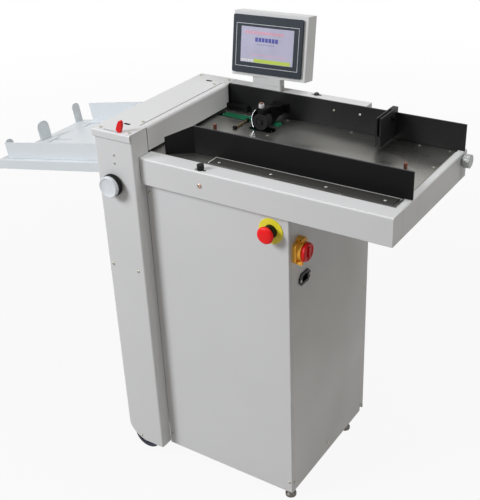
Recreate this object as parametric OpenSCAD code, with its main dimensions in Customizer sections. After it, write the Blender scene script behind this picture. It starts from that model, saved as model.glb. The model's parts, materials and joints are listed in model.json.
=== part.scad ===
// Floor-standing paper creasing machine: a cabinet on levelling feet and transport
// wheels, a tower that holds the creasing head, a feed table with side fences and a
// friction feeder, a swivelling operator panel and a sloping delivery tray.
// Millimetres, +Z up, sheets travel towards -X, the operator stands at -Y.

/* [Cabinet] */
// Width of the cabinet, left to right
cab_w = 380; // [340:1:440]
// Depth of the cabinet, front to back
cab_d = 392; // [380:1:440]
// Height of the cabinet's lower edge above the floor
foot_h = 22; // [20:1:30]
// Thickness of the folded sheet steel
sheet = 1.5; // [1.2:0.1:2]

/* [Tower] */
// Width of the tower that holds the creasing head
tower_w = 111; // [106:1:125]
// How far the tower stands in front of the cabinet
tower_step = 36; // [34:1:50]
// Height of the tower's top above the table rail
tower_rise = 61; // [58:1:75]
// Diameter of the transport wheels
wheel_d = 80; // [70:1:90]
// Radius of the tower's cut-away lower corner
corner_cut = 62; // [50:1:70]

/* [Table] */
// Height of the table rail's top above the floor
rail_top = 863; // [800:1:960]
// Height of the table rails
rail_h = 64; // [58:1:80]
// Width of the front rail's top flange
rail_flange = 44; // [40:1:50]
// How far the table reaches past the cabinet's right side
overhang = 243; // [200:1:300]
// Height of the paper fences above the table plate
fence_h = 66; // [50:1:75]
// Distance of the front fence's inner face from the cabinet front
fence_y = 75; // [74:1:90]
// Width of the fence's foot strip
foot_strip = 34; // [28:1:36]

/* [Feeder] */
// Diameter of the rubber feed wheel
feed_wheel_d = 40; // [36:1:46]
// Width of the feed wheel
feed_wheel_w = 24; // [18:1:28]
// Width of the green take-away belt
belt_w = 25; // [20:1:30]
// Distance between the take-away belt's two shafts
belt_span = 150; // [130:1:170]

/* [Creasing head] */
// Diameter of the pull rollers
roller_d = 24; // [22:1:26]
// Diameter of the main shaft
shaft_d = 16; // [14:1:18]
// Throw of the main shaft's eccentrics
throw = 2; // [1:0.5:3]
// Number of teeth on each roller gear
gear_teeth = 16; // [12:4:20]

/* [Operator panel] */
// Width of the panel housing
panel_w = 200; // [180:1:220]
// Height of the panel housing
panel_h = 154; // [140:1:170]
// Depth of the panel housing
panel_t = 46; // [35:1:50]
// Backward tilt of the screen in degrees
panel_tilt = 9.7; // [5:0.1:15]
// Swivel of the panel about its post in degrees
panel_yaw = 4.7; // [0:0.1:10]

/* [Delivery tray] */
// Length of the tray along its slope
tray_len = 415; // [340:1:450]
// Downward slope of the tray in degrees
tray_slope = 10.3; // [5:0.1:14]
// Height of the tray's folded lip
tray_lip = 23; // [15:1:30]
// Height of the tray's side guides
guide_h = 43; // [30:1:55]

/* [Hidden] */
$fn = 48;

// Clearances: between panels, round a running shaft
gap = 0.3;
run_gap = 0.05;
eps = 0.01;

// Heights
deck_z = rail_top - rail_h;
plate_t = 2;
plate_top = rail_top - 3;
fence_top = plate_top + fence_h;
tower_top = rail_top + tower_rise;
cover_z = plate_top + 7;

// Outline of the machine in plan
tower_l = -tower_w;
tower_f = -tower_step;
rail_f = -16;
rail_in = rail_f + rail_flange;
table_r = cab_w + overhang;
rail_side_w = 15;
rail_t = 2;
rail_bend = 3.5;
fence_back = cab_d - 37.6;
fence_t = 2;

// Rollers and creasing line inside the tower
roller_r = roller_d / 2;
paper_z = plate_top + 0.3;
lower_z = paper_z - roller_r;
upper_z = paper_z + roller_r + gap;
infeed_x = -26;
outfeed_x = tower_l + 19;
crease_x = -57;
main_z = plate_top - 67;
main_x = -64;
shaft_r = shaft_d / 2;
cam_r = shaft_r + throw + 4;
plate_w = 10;
plate_f = 4;
plate_b = cab_d - 36;
inner_f = plate_f + plate_w;
bearing_t = 8;

// Hinged cover
cover_y0 = 21;
cover_y1 = fence_back - 4;
hinge_x = -17;
hinge_z = tower_top - 3;
hinge_r = 1.6;
cover_left = hinge_x - 0.9;
cover_gap = 3;

// Operator panel: centre of the screen's face, and the post below it
panel_x = 108;
panel_y = fence_back + 11.1;
bezel_w = panel_w - 14;
panel_shift = 4;
bezel_h = panel_h - 16;
bezel_t = 6;
post_w = 80;
post_d = 20;
post_top = tower_top + 11;
neck_h = 19.5;
panel_z = post_top + neck_h + (panel_h / 2) * cos(panel_tilt);

// Tray: its upper right edge, where it hangs on the tower
tray_z = plate_top - 48;
tray_f = 20;
tray_b = cab_d - 42;
tray_sheet = 2;

// Wheels and feet
wheel_r = wheel_d / 2;
wheel_x = tower_l + 51;
wheel_w = 22;
wheel_yf = tower_f + sheet + 17;
wheel_yb = cab_d - sheet - 17;
floor_z = wheel_d + 8;
axle_r = 4;
foot_x = cab_w - 14;
foot_yf = 16;
foot_yb = cab_d - 80;

// The origin lies at the middle of the footprint, on the floor
knob_out = 26;
side_knob_out = 20;
x_low = tower_l - gap - tray_len * cos(tray_slope);
x_high = table_r + side_knob_out;
y_low = tower_f - knob_out;
y_high = panel_y + (panel_w / 2 + panel_shift) * sin(panel_yaw)
    + cos(panel_yaw) * ((panel_h / 2) * sin(panel_tilt)
    + (panel_t + bezel_t) * cos(panel_tilt));
origin = [-(x_low + x_high) / 2, -(y_low + y_high) / 2, 0];

module placed() { translate(origin) children(); }

// Rectangle with round corners, its corner at the origin
module round_rect(w, d, r) {
    translate([r, 0]) square([w - 2 * r, d]);
    translate([0, r]) square([w, d - 2 * r]);
    for (x = [r, w - r], y = [r, d - r]) translate([x, y]) circle(r);
}

// Flat plate a wide and b high with one round upper corner of radius r at the origin;
// both sides are at least 2 r
module soft_plate(a, b, r) {
    translate([0, -b]) square([a, b - r]);
    translate([r, -r]) square([a - r, r]);
    translate([r, -r]) circle(r);
}

// Section of a sheet folded over that corner
module fold(a, b, t, r) {
    difference() {
        soft_plate(a, b, r);
        translate([t, -t]) soft_plate(a, b, r - t);
    }
}

// Box given by two opposite corners
module block(a, b) { translate(a) cube(b - a); }

// Cylinder along Y or X from a start point
module rod_y(p, r, l) { translate(p) rotate([-90, 0, 0]) cylinder(r = r, h = l); }
module rod_x(p, r, l) { translate(p) rotate([0, 90, 0]) cylinder(r = r, h = l); }

// Pan-head screw, standing on z = 0
module screw_head(r = 3.6) {
    difference() {
        union() {
            cylinder(r = r, h = 1.4);
            translate([0, 0, 1.4]) cylinder(r1 = r, r2 = r * 0.7, h = 0.9);
        }
        translate([0, 0, 1]) cylinder(r = r * 0.45, h = 2, $fn = 6);
    }
}

// Outline of a spur gear, its first tooth along +X
module gear_outline(teeth, pitch_r) {
    tooth = PI * pitch_r / teeth;
    root_r = pitch_r - tooth * 0.62;
    tip_r = pitch_r + tooth * 0.5;
    circle(root_r);
    for (i = [0 : teeth - 1]) rotate(i * 360 / teeth)
        polygon([[root_r - 1, -tooth * 0.6], [pitch_r, -tooth * 0.42],
            [tip_r, -tooth * 0.22], [tip_r, tooth * 0.22],
            [pitch_r, tooth * 0.42], [root_r - 1, tooth * 0.6]]);
}

// Knurled grip: a cylinder with straight flutes round it, standing on z = 0
module fluted(r, h, flutes, depth = 0.8) {
    difference() {
        cylinder(r = r, h = h);
        for (i = [0 : flutes - 1]) rotate(i * 360 / flutes)
            translate([r + depth * 0.4, 0, -1]) cylinder(r = depth, h = h + 2, $fn = 14);
    }
}

// ---- base and cabinet ----

module base_pan() {
    inset = sheet + 0.5;
    pan_z = foot_h + 8;
    color([0.55, 0.56, 0.57]) placed() difference() {
        union() {
            block([inset, inset, pan_z], [cab_w - inset, cab_d - inset, pan_z + 3]);
            for (y = [inset + 0.5, cab_d - inset - 2.5])
                block([inset, y, foot_h + sheet + 0.5], [cab_w - inset, y + 2, pan_z]);
            block([inset, inset, pan_z], [inset + 2, cab_d - inset, floor_z + 3]);
            // floor of the tower, above the wheels
            block([tower_l + 2, tower_f + 5, floor_z], [-inset, inset + 1, floor_z + 3]);
            block([tower_l + 2, inset, floor_z], [inset + 1, cab_d - inset, floor_z + 3]);
            wheel_bracket(wheel_yf);
            wheel_bracket(wheel_yb);
            for (y = [foot_yf, foot_yb]) translate([foot_x, y, pan_z - 6])
                cylinder(r = 9, h = 8);
        }
        for (y = [foot_yf, foot_yb]) translate([foot_x, y, 0])
            cylinder(r = 5 + run_gap, h = 60);
    }
}

// Two ears and a fixed axle for one transport wheel
module wheel_bracket(y) {
    ear_w = 34;
    for (s = [-1, 1]) {
        ear_y = y + s * (wheel_w / 2 + 3) - 1.5;
        block([wheel_x - ear_w / 2, ear_y, wheel_r], [wheel_x + ear_w / 2, ear_y + 3, floor_z]);
        rod_y([wheel_x, ear_y, wheel_r], ear_w / 2, 3);
    }
    rod_y([wheel_x, y - wheel_w / 2 - 3, wheel_r], axle_r, wheel_w + 6);
}

module corner_posts() {
    leg = 28;
    post_t = 3;
    z0 = foot_h + 11;
    color([0.55, 0.56, 0.57]) placed() for (sx = [0, 1], sy = [0, 1])
        translate([sx ? cab_w - 4 : 4, sy ? cab_d - 4 : 4, z0])
            mirror([sx, 0, 0]) mirror([0, sy, 0]) {
                cube([leg, post_t, deck_z - z0]);
                cube([post_t, leg, deck_z - z0]);
            }
}

panel_leg = 8;
panel_bend = 3;

module front_panel() {
    color([0.80, 0.81, 0.82]) placed() difference() {
        union() {
            // folded round the cabinet's front right edge
            translate([cab_w, 0, foot_h]) rotate([0, 0, 180]) linear_extrude(deck_z - gap - foot_h)
                fold(cab_w - gap, panel_leg, sheet, panel_bend);
            for (z = [foot_h, deck_z - gap - sheet])
                block([gap + 2, sheet - eps, z], [cab_w - sheet - 2, 3.9, z + sheet]);
        }
        rod_y([estop_x, -1, estop_z], 11.2, 6);
    }
}

inlet_y = 64;
inlet_z = rail_top - 242;

module right_panel() {
    color([0.60, 0.59, 0.56]) placed() difference() {
        block([cab_w - sheet, panel_leg + gap, foot_h], [cab_w, cab_d - sheet - gap, deck_z - gap]);
        translate([cab_w - 5, inlet_y, inlet_z]) rotate([90, 0, 90]) linear_extrude(10)
            translate([-14.2, -10.7]) square([28.4, 21.4]);
        // notch for lifting at the rear lower edge
        block([cab_w - 5, cab_d - 18, 0], [cab_w + 1, cab_d, foot_h + 16]);
    }
}

module back_panel() {
    slot_w = 60;
    y0 = cab_d - sheet;
    color([0.72, 0.73, 0.73]) placed() difference() {
        union() {
            block([gap, y0, foot_h], [cab_w, cab_d, deck_z - gap]);
            block([tower_l, y0, foot_h + 6], [gap, cab_d, tower_top - 18]);
        }
        corner_notch(y0 - 1, 4);
        for (i = [0 : 9], x = [cab_w * 0.3, cab_w * 0.7])
            translate([x - slot_w / 2, y0 - 1, foot_h + 90 + i * 12])
                cube([slot_w, sheet + 2, 4]);
    }
}

// What is cut from the tower's lower left corner to clear the wheel's rim
module corner_notch(y, l) {
    z0 = foot_h + 6;
    translate([tower_l, y, z0]) difference() {
        translate([-1, 0, -1]) cube([corner_cut + 1, l, corner_cut + 1]);
        translate([corner_cut, -1, corner_cut]) rotate([-90, 0, 0])
            cylinder(r = corner_cut, h = l + 2, $fn = 96);
    }
}

// ---- tower ----

module tower_front_cover() {
    bend = 5;
    z0 = foot_h + 6;
    z1 = tower_top - 2.2;
    depth = 78;
    color([0.80, 0.81, 0.82]) placed() difference() {
        translate([tower_l, tower_f, z0]) linear_extrude(z1 - z0) difference() {
            round_rect(tower_w, depth, bend);
            translate([sheet, sheet]) round_rect(tower_w - 2 * sheet, depth, bend - sheet);
            translate([-1, depth - 2 * bend]) square([tower_w + 2, 3 * bend]);
        }
        // the right side stops at the cabinet, the table rail and the hinged cover
        block([-20, -gap, 0], [10, 90, deck_z + eps]);
        block([-20, rail_f - gap, deck_z], [10, 90, rail_top + gap]);
        block([-20, cover_y0 - 2.4, deck_z], [10, 90, tower_top]);
        // the left side stops above the wheels
        block([tower_l - 1, tower_f + bend + 1, 0], [tower_l + 20, 90, floor_z + 4]);
        corner_notch(tower_f - 1, bend + 2.5);
        rod_y([main_x, tower_f - 1, main_z], shaft_r + 3, 5);
    }
}

exit_low = plate_top - 30;
exit_high = plate_top + 14;
left_f = tower_f + 68 + gap;

module tower_left_panel() {
    color([0.76, 0.77, 0.77]) placed() difference() {
        block([tower_l, left_f, floor_z + 4], [tower_l + sheet, cab_d - sheet - gap, tower_top - 18]);
        block([tower_l - 1, left_f + 8, exit_low], [tower_l + 5, fence_back, exit_high]);
        for (i = [0 : 7]) block([tower_l - 1, 120, 250 + i * 12], [tower_l + 5, 260, 254 + i * 12]);
    }
}

lever_y = tower_f + 3.5;
slit_l = -80;
slit_r = -31;

module tower_top_cover() {
    lip = 5;
    lip_h = 18;
    z0 = tower_top - 2;
    fixed_edge = cover_left - cover_gap;
    color([0.86, 0.87, 0.86]) placed() difference() {
        union() {
            difference() {
                block([tower_l, tower_f - lip + 2, z0], [0, cab_d, tower_top]);
                block([fixed_edge, cover_y0 - 0.4, z0 - 1], [1, cover_y1 + 0.4, tower_top + 1]);
            }
            // front lip with a rolled upper edge
            translate([tower_l, tower_f - lip, tower_top]) rotate([90, 0, 90])
                linear_extrude(tower_w) fold(lip + 3, lip_h, sheet, 4);
            block([tower_l, left_f, tower_top - 17.7], [tower_l + sheet, cab_d - 2, z0]);
            block([tower_l, cab_d - sheet, tower_top - 17.7], [0, cab_d, z0]);
            // lugs that hold the hinged cover's pins
            for (y = [cover_y0 - 5.6, cover_y1 + 2])
                block([hinge_x - 5, y, tower_top - 9], [hinge_x + 5, y + 3.4, z0 + eps]);
        }
        rod_y([hinge_x, cover_y0 - 7, hinge_z], hinge_r + run_gap, 8);
        rod_y([hinge_x, cover_y1 - 1, hinge_z], hinge_r + run_gap, 8);
        // access slots over the two blade adjusters
        for (p = [[crease_x + 5, 15.5], [crease_x - 1, plate_b - 5]])
            translate([p[0] - 8, p[1] - 3.3, z0 - 1]) linear_extrude(4) round_rect(16, 6.6, 3);
        block([slit_l, lever_y - 2, z0 - 1], [slit_r, lever_y + 2, tower_top + 1]);
    }
}

module side_plates() {
    x0 = tower_l + 7;
    x1 = -6;
    z0 = floor_z + 3;
    z1 = tower_top - 6;
    color([0.50, 0.51, 0.53]) placed() {
        difference() {
            union() {
                block([x0, plate_f, z0], [x1, plate_f + plate_w, z1]);
                block([x0, plate_b, z0], [x1, plate_b + plate_w, z1]);
                // pivot of the release lever
                rod_y([lever_x, lever_y - 1.4, lever_z], 4, plate_f - lever_y + 1.4 + eps);
            }
            for (y = [plate_f - 1, plate_b - 1]) {
                for (x = [infeed_x, outfeed_x], z = [lower_z, upper_z])
                    rod_y([x, y, z], roller_r - 1, plate_w + 2);
                rod_y([main_x, y, main_z], shaft_r + 6, plate_w + 2);
            }
            // grooves that guide the die beam
            for (y = [inner_f - 3, plate_b - 1])
                block([crease_x - 10, y, 0], [crease_x + 10, y + 4, z1 + 1]);
            // holes for the motor shafts
            rod_y([main_x, plate_b - 1, motor_z], 14, plate_w + 2);
            rod_y([step_x, plate_b - 1, step_z], 12, plate_w + 2);
        }
    }
}

// ---- creasing head ----

blade_z = paper_z + 3.5;

module crease_blade() {
    z_top = tower_top - 22;
    color([0.70, 0.71, 0.73]) placed() {
        difference() {
            union() {
                block([crease_x - 7, inner_f, blade_z + 12], [crease_x + 7, plate_b, z_top]);
                // tongues held in the side plates' grooves
                for (y = [inner_f - 3, plate_b - eps])
                    block([crease_x - 10, y, blade_z + 14], [crease_x + 10, y + 3 + eps, z_top]);
                translate([crease_x, inner_f + 4, blade_z]) rotate([-90, 0, 0])
                    linear_extrude(plate_b - inner_f - 8) polygon([[-0.5, 0], [0.5, 0],
                        [3, -5], [3, -12 - eps], [-3, -12 - eps], [-3, -5]]);
            }
            for (y = [inner_f + 10 : 40 : plate_b - 10])
                rod_x([crease_x - 8, y, blade_z + 20], 2, 16);
        }
        // depth adjusters under the access slots
        for (p = [[crease_x + 2, inner_f + 5], [crease_x - 1, plate_b - 5]])
            translate([p[0], p[1], z_top]) {
                cylinder(r = 4, h = 4);
                translate([0, 0, 4]) cylinder(r = 6, h = 5, $fn = 6);
            }
    }
}

module die_beam() {
    y0 = inner_f + 0.5;
    y1 = plate_b - 0.5;
    top = paper_z - 0.9 - throw;
    window = cam_r + 2 * throw + 0.5;
    rim = 6;
    color([0.62, 0.63, 0.66]) placed() difference() {
        union() {
            block([crease_x - 12, y0, top - 22], [crease_x + 12, y1, top]);
            for (y = [inner_f - 2.6, y1 - eps])
                block([crease_x - 9.6, y, top - 22], [crease_x + 9.6, y + 3.1, top]);
            for (y = cam_ys) {
                block([main_x - window - rim, y + 1, main_z - window - rim],
                    [main_x + window + rim, y + 9, main_z + window + rim]);
                block([crease_x - 12, y + 1, main_z + window], [crease_x + 12, y + 9, top - 22 + eps]);
            }
        }
        // groove that the blade presses the sheet into
        block([crease_x - 1.2, y0 - 5, top - 2], [crease_x + 1.2, y1 + 5, top + 1]);
        for (y = cam_ys)
            block([main_x - window, y, main_z - window], [main_x + window, y + 10, main_z + window]);
    }
}

cam_ys = [60, cab_d - 92];

module main_shaft() {
    y0 = tower_f - knob_out + 4;
    y1 = cab_d - 8;
    color([0.72, 0.73, 0.75]) placed() {
        rod_y([main_x, y0, main_z], shaft_r, y1 - y0);
        // eccentrics, at mid throw at rest
        for (y = cam_ys) difference() {
            rod_y([main_x + throw, y, main_z], cam_r, 10);
            rod_y([main_x, y - 1, main_z], shaft_r - eps, 12);
        }
        // pulley behind the rear plate
        difference() {
            rod_y([main_x, plate_b + plate_w + 3, main_z], 22, 9);
            rod_y([main_x, plate_b + plate_w, main_z], shaft_r - eps, 16);
        }
    }
}

module hand_knob() {
    knob_r = 27;
    color([0.88, 0.88, 0.87]) placed() translate([main_x, tower_f - 3, main_z]) rotate([90, 0, 0])
        difference() {
            union() {
                fluted(knob_r, 11, 36, 1);
                translate([0, 0, 11]) cylinder(r1 = knob_r - 1, r2 = knob_r - 2.5, h = 8);
                translate([0, 0, 19]) cylinder(r1 = knob_r - 2.5, r2 = knob_r - 8, h = knob_out - 22);
            }
            translate([0, 0, -1]) cylinder(r = shaft_r, h = knob_out - 6);
        }
}

// Pull roller: shaft with rubber sleeves and a gear at its front end
module pull_roller(x, z, turn) {
    journal_r = 5;
    y0 = plate_f - 16;
    sleeve = 26;
    placed() {
        rod_y([x, y0, z], journal_r, plate_b + plate_w + 16 - y0);
        difference() {
            rod_y([x, inner_f + 8, z], roller_r - 3, plate_b - inner_f - 16);
            rod_y([x, inner_f, z], journal_r - eps, plate_b - inner_f);
        }
        for (i = [0 : 5]) difference() {
            rod_y([x, inner_f + 14 + i * (plate_b - inner_f - 28 - sleeve) / 5, z], roller_r, sleeve);
            rod_y([x, inner_f, z], roller_r - 3 - eps, plate_b - inner_f);
        }
        difference() {
            translate([x, plate_f - 4, z]) rotate([90, turn, 0]) linear_extrude(8)
                gear_outline(gear_teeth, roller_r + gap / 2);
            rod_y([x, y0 - 1, z], journal_r - eps, 14);
        }
    }
}

// Upright tooth below, gap above: half a tooth apart so that the pair meshes
half_tooth = 180 / gear_teeth;

module infeed_lower_roller() { color([0.2, 0.2, 0.2]) lower_roller(infeed_x); }
module infeed_upper_roller() {
    color([0.2, 0.2, 0.2]) pull_roller(infeed_x, upper_z, 90 + half_tooth);
}
module outfeed_lower_roller() { color([0.2, 0.2, 0.2]) lower_roller(outfeed_x); }
module outfeed_upper_roller() {
    color([0.2, 0.2, 0.2]) pull_roller(outfeed_x, upper_z, 90 + half_tooth);
}

// Lower rollers also carry a belt pulley behind the rear plate
module lower_roller(x) {
    pull_roller(x, lower_z, 90);
    placed() difference() {
        rod_y([x, plate_b + plate_w + 3, lower_z], small_pulley, 9);
        rod_y([x, plate_b + plate_w, lower_z], 5 - eps, 16);
    }
}

module shaft_bearings() {
    color([0.75, 0.76, 0.78]) placed() for (y = [plate_f + 1, plate_b + 1]) {
        for (x = [infeed_x, outfeed_x], z = [lower_z, upper_z]) difference() {
            rod_y([x, y, z], roller_r - 1, bearing_t);
            rod_y([x, y - 1, z], 5 + run_gap, bearing_t + 2);
        }
        difference() {
            rod_y([main_x, y, main_z], shaft_r + 6, bearing_t);
            rod_y([main_x, y - 1, main_z], shaft_r + run_gap, bearing_t + 2);
        }
    }
}

motor_z = main_z - 150;
step_x = -59;
step_z = main_z - 66;
small_pulley = 9;

module drive_motors() {
    main_r = 38;
    step_w = 56;
    color([0.16, 0.17, 0.18]) placed() {
        // geared motor of the main shaft
        rod_y([main_x, plate_b - 60, motor_z], main_r, 60);
        rod_y([main_x, plate_b - 150, motor_z], main_r - 5, 90 + eps);
        rod_y([main_x, plate_b - eps, motor_z], 6, plate_w + 16);
        rod_y([main_x, plate_b + plate_w + 3, motor_z], 14, 9);
        // stepper of the pull rollers
        translate([step_x - step_w / 2, plate_b, step_z - step_w / 2]) rotate([90, 0, 0])
            linear_extrude(76) round_rect(step_w, step_w, 6);
        rod_y([step_x, plate_b - eps, step_z], 5, plate_w + 16);
        rod_y([step_x, plate_b + plate_w + 3, step_z], small_pulley, 9);
    }
}

// Flat outline of a belt round circles given as [x, z, r]
module belt_outline(stations, thick) {
    difference() {
        hull() for (s = stations) translate([s[0], s[1]]) circle(s[2] + thick, $fn = 32);
        hull() for (s = stations) translate([s[0], s[1]]) circle(s[2] + 0.02, $fn = 32);
    }
}

module belt_loop(y, w, stations, thick) {
    translate([0, y + w, 0]) rotate([90, 0, 0]) linear_extrude(w) belt_outline(stations, thick);
}

module timing_belts() {
    y = plate_b + plate_w + 4;
    color([0.08, 0.08, 0.08]) placed() {
        belt_loop(y, 7, [[main_x, main_z, 22.1], [main_x, motor_z, 14.1]], 1.6);
    }
}

module control_box() {
    x0 = 60;
    z0 = foot_h + 11;
    color([0.66, 0.67, 0.66]) placed() {
        difference() {
            block([x0, 60, z0], [cab_w - 70, cab_d - 60, z0 + 190]);
            block([x0 + 20, 50, z0 + 20], [cab_w - 90, 64, z0 + 170]);
        }
        // mains filter, drive and power supply on the box's door
        for (i = [0 : 2]) block([x0 + 26 + i * 64, 46, z0 + 40], [x0 + 76 + i * 64, 64, z0 + 150]);
    }
}

// ---- controls on the cabinet ----

estop_x = cab_w - 44.3;
estop_z = deck_z - 43.5;

module estop_legend() {
    color([0.93, 0.84, 0.20]) placed() difference() {
        rod_y([estop_x, -1.5, estop_z], 30, 1.5);
        rod_y([estop_x, -3, estop_z], 11.2, 6);
    }
}

module estop_collar() {
    color([0.08, 0.08, 0.08]) placed() difference() {
        union() {
            rod_y([estop_x, -14, estop_z], 16, 12.5);
            rod_y([estop_x, -1.6, estop_z], 11, 8);
            block([estop_x - 11.5, 4, estop_z - 20], [estop_x + 11.5, 38, estop_z + 20]);
        }
        rod_y([estop_x, -20, estop_z], 7 + gap, 40);
    }
}

module estop_button() {
    color([0.90, 0.13, 0.12]) placed() translate([estop_x, -30, estop_z]) rotate([-90, 0, 0])
        rotate_extrude($fn = 64) polygon([[0, 0], [12, 0.4], [16.5, 1.4], [19, 3.2], [20, 6],
            [19.6, 8.5], [17, 9.4], [9, 9.6], [7, 10.4], [7, 38], [0, 38]]);
}

box_y = 38;
box_z = rail_top - 159;
box_w = 52;
box_h = 48;
boss_out = 17;
flap_axis = [cab_w + 19, box_y, box_z - 21];

module switch_box() {
    color([0.93, 0.67, 0.22]) placed() difference() {
        union() {
            translate([cab_w, box_y - box_w / 2, box_z - box_h / 2]) rotate([90, 0, 90])
                linear_extrude(9) round_rect(box_w, box_h, 8);
            translate([cab_w + 9 - eps, box_y, box_z]) rotate([0, 90, 0])
                cylinder(r1 = 23.8, r2 = 21.5, h = boss_out - 9);
            // padlock tab above the head
            translate([cab_w, box_y - 8, box_z + 22]) rotate([90, 0, 90])
                linear_extrude(boss_out) round_rect(16, 10, 3);
            // cheeks that carry the flap's hinge pin
            for (s = [-1, 1]) block([cab_w + 8, box_y + s * 19 - 3, box_z - box_h / 2],
                [cab_w + 22, box_y + s * 19 + 3, box_z - 17.5]);
        }
        rod_y([flap_axis[0], box_y - 30, flap_axis[2]], 1.5 + run_gap, 60);
        rod_y([cab_w + 11, box_y - 10, box_z + 28], 2.2, 20);
        // room for the contact blocks
        rod_x([cab_w + 3, box_y, box_z], 13, boss_out);
    }
}

module switch_flap() {
    head_r = 21.5;
    x0 = cab_w + boss_out + 0.6;
    color([0.85, 0.10, 0.10]) placed() {
        block([x0, box_y - 15.6, flap_axis[2] + 1], [x0 + 2.4, box_y + 15.6, box_z + 16]);
        rod_y([flap_axis[0], box_y - 22, flap_axis[2]], 1.5, 44);
        // round head with a finger bar across its face
        translate([x0 + 2.4 - eps, box_y, box_z]) rotate([0, 90, 0]) {
            rotate_extrude($fn = 64) polygon([[0, 0], [head_r - 1, 0], [head_r, 1.5], [head_r, 6],
                [head_r - 2, 8], [head_r - 5, 8], [head_r - 6, 6.5], [0, 6.5]]);
            translate([-14, -3.5, 6]) linear_extrude(4) round_rect(28, 7, 3);
        }
    }
}

module power_inlet() {
    color([0.07, 0.07, 0.07]) placed() translate([cab_w, inlet_y, inlet_z]) rotate([90, 0, 90])
        difference() {
            union() {
                linear_extrude(3) difference() {
                    union() {
                        translate([-15, -15]) square([30, 30]);
                        polygon([[-25, -5], [-15, -15], [15, -15], [25, -5], [25, 5],
                            [15, 15], [-15, 15], [-25, 5]]);
                    }
                    for (s = [-1, 1]) translate([s * 20, 0]) circle(1.7);
                }
                translate([-14, -10.5, -22]) cube([28, 21, 22 + eps]);
            }
            translate([0, 0, -18]) linear_extrude(30) polygon([[-12, -8.5], [12, -8.5],
                [12, 4], [8, 8.5], [-8, 8.5], [-12, 4]]);
        }
    // three contact blades in the recess
    color([0.07, 0.07, 0.07]) placed() for (p = [[-7, -2.5], [7, -2.5], [0, 2.5]])
        block([cab_w - 18 - eps, inlet_y + p[0] - 1, inlet_z + p[1] - 2.2],
            [cab_w - 4, inlet_y + p[0] + 1, inlet_z + p[1] + 2.2]);
}

// ---- feed table ----

slot_x = 162;
slot_y = -4;
rear_slot_x = cab_w - 144;
rear_slot_y = cab_d - 10;

module front_rail() {
    color([0.82, 0.83, 0.82]) placed() difference() {
        union() {
            translate([gap, rail_f, rail_top]) rotate([90, 0, 90]) {
                linear_extrude(table_r - gap) fold(rail_flange, rail_h, rail_t, rail_bend);
                // right end
                translate([0, 0, table_r - gap - rail_t]) linear_extrude(rail_t)
                    soft_plate(rail_flange, rail_h, rail_bend);
            }
            block([gap, rail_in - rail_t, plate_top - 5], [table_r - rail_side_w, rail_in, rail_top]);
            // ledge under the table plate
            block([gap, rail_in - rail_t, plate_top - 5],
                [table_r - rail_side_w, rail_in + 12, plate_top - plate_t]);
        }
        translate([slot_x - 14, slot_y - 3, rail_top - 4]) linear_extrude(6) round_rect(28, 6, 2.9);
    }
}

module right_rail() {
    x0 = table_r - rail_side_w;
    y0 = rail_in + gap;
    y1 = cab_d - 22;
    color([0.74, 0.74, 0.72]) placed() difference() {
        union() {
            translate([table_r, y1, rail_top]) rotate([90, 0, 0]) mirror([1, 0, 0]) {
                linear_extrude(y1 - y0) fold(rail_side_w, rail_h, rail_t, rail_bend);
                linear_extrude(rail_t) soft_plate(rail_side_w, rail_h, rail_bend);
            }
            block([x0, y0, plate_top - 5], [x0 + rail_t, y1, rail_top]);
            block([x0 - 12, y0 + 12, plate_top - 5], [x0 + rail_t, fence_back, plate_top - plate_t]);
        }
        rod_x([table_r - 4, side_knob_y, side_knob_z], 4 + run_gap, 8);
    }
}

module table_pan() {
    z0 = deck_z;
    color([0.70, 0.71, 0.71]) placed() difference() {
        union() {
            block([gap, rail_f + rail_t + gap, z0],
                [table_r - rail_t - gap, cab_d - 22 - rail_t - gap, z0 + sheet]);
            block([gap, cab_d - 30, z0], [cab_w, cab_d, z0 + sheet]);
            // rear wall with a ledge under the table plate
            block([cab_w + gap, cab_d - 22 - rail_t - gap - sheet, z0],
                [table_r - rail_side_w - gap, cab_d - 22 - rail_t - gap, plate_top - plate_t]);
            block([cab_w + gap, fence_back - 8, plate_top - plate_t - sheet],
                [table_r - rail_side_w - gap - 12, cab_d - 22 - rail_t - gap, plate_top - plate_t]);
        }
        // openings for the harness and the feeder drive
        block([40, 120, z0 - 1], [150, 220, z0 + 3]);
    }
}

// Feeder openings in the plate
wheel_cx = 151;
wheel_cy = fence_back - 84.4;
belt_x = 14;
belt_yc = fence_back - 42;
belt_pulley = 10;

plate_edge = 5;

module table_plate() {
    z0 = plate_top - plate_t;
    color([0.52, 0.53, 0.55]) placed() difference() {
        block([-10, rail_in + 2, z0], [table_r - rail_side_w - plate_edge, fence_back, plate_top]);
        block([-30, 0, z0 - 1], [gap, 30.3, plate_top + 1]);
        block([belt_x - belt_pulley - 5, belt_yc - belt_w / 2 - 3, z0 - 1],
            [belt_x + belt_span + belt_pulley + 5, belt_yc + belt_w / 2 + 3, plate_top + 1]);
        // arched opening round the feed wheel
        translate([wheel_cx - 34, wheel_cy - feed_wheel_w / 2 - 4, z0 - 1])
            linear_extrude(4) round_rect(68, feed_wheel_w + 8, 12);
        for (p = plate_screws) translate([p[0], p[1], plate_top - 1.2])
            cylinder(r1 = 2.4, r2 = 4.2, h = 1.3);
        translate([table_r - 60, rail_in + 22, z0 - 1]) linear_extrude(4) round_rect(8, 40, 3.9);
    }
}

plate_screws = [for (x = [cab_w - 32, cab_w + 140, table_r - 31]) [x, fence_back - 8],
    [table_r - 29, 249], [176, fence_back - 10], [182, 240], [146, 222],
    [cab_w - 60, rail_in + 8], [cab_w + 100, rail_in + 8]];

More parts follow.
